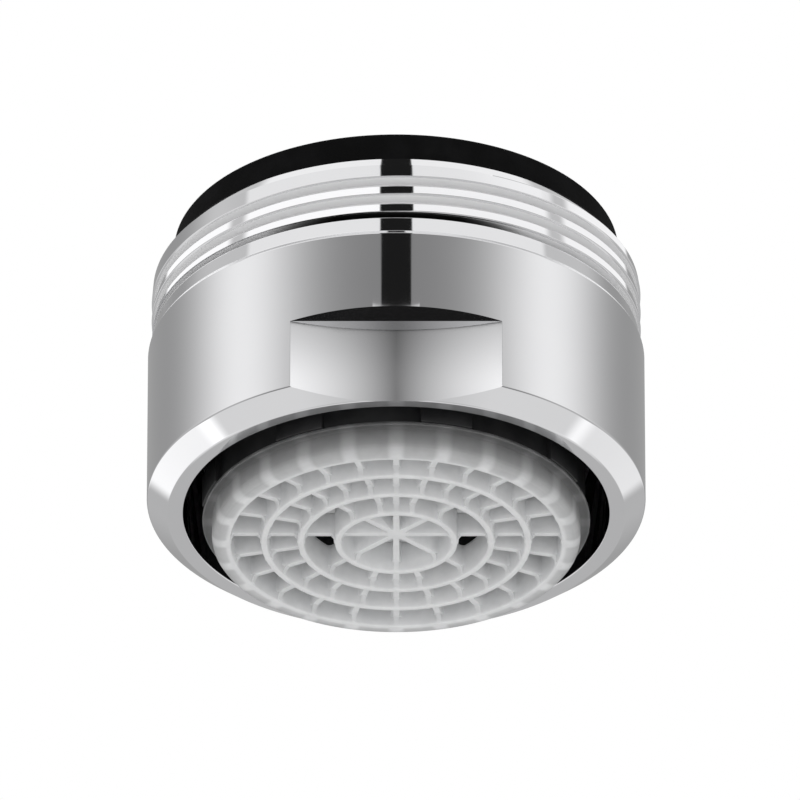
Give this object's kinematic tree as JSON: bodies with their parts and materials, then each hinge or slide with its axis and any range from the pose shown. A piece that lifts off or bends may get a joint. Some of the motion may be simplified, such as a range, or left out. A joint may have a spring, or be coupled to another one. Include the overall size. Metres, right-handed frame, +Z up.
{
  "type": "tap aerator",
  "caption": "Round chromed tap aerator with a male thread, wrench flats, a flat sealing washer and a white ring-and-spoke outlet grille around a drop-in cartridge.",
  "frame": {"origin": "centre of the sealing face on top of the washer, on the thread's axis", "axes": "+Z up along the thread's axis, towards the spout it screws into; -Y is the face of the front wrench flat"},
  "size_m": [0.0242, 0.0242, 0.0167],
  "materials": {
    "chrome": "polished chrome plating on brass",
    "washer_rubber": "matt black rubber",
    "black_plastic": "black moulded plastic",
    "white_plastic": "natural white moulded plastic",
    "regulator_rubber": "black elastic ring",
    "grille_silicone": "translucent white silicone"
  },
  "bodies": {
    "root": {"housing": "chrome", "sealing_washer": "washer_rubber", "insert_sleeve": "black_plastic", "inlet_strainer": "white_plastic", "regulator_body": "white_plastic", "regulator_ring": "regulator_rubber", "jet_plate": "white_plastic", "mixing_grid_upper": "black_plastic", "mixing_grid_lower": "white_plastic", "outlet_grille": "grille_silicone"}
  },
  "joints": []
}
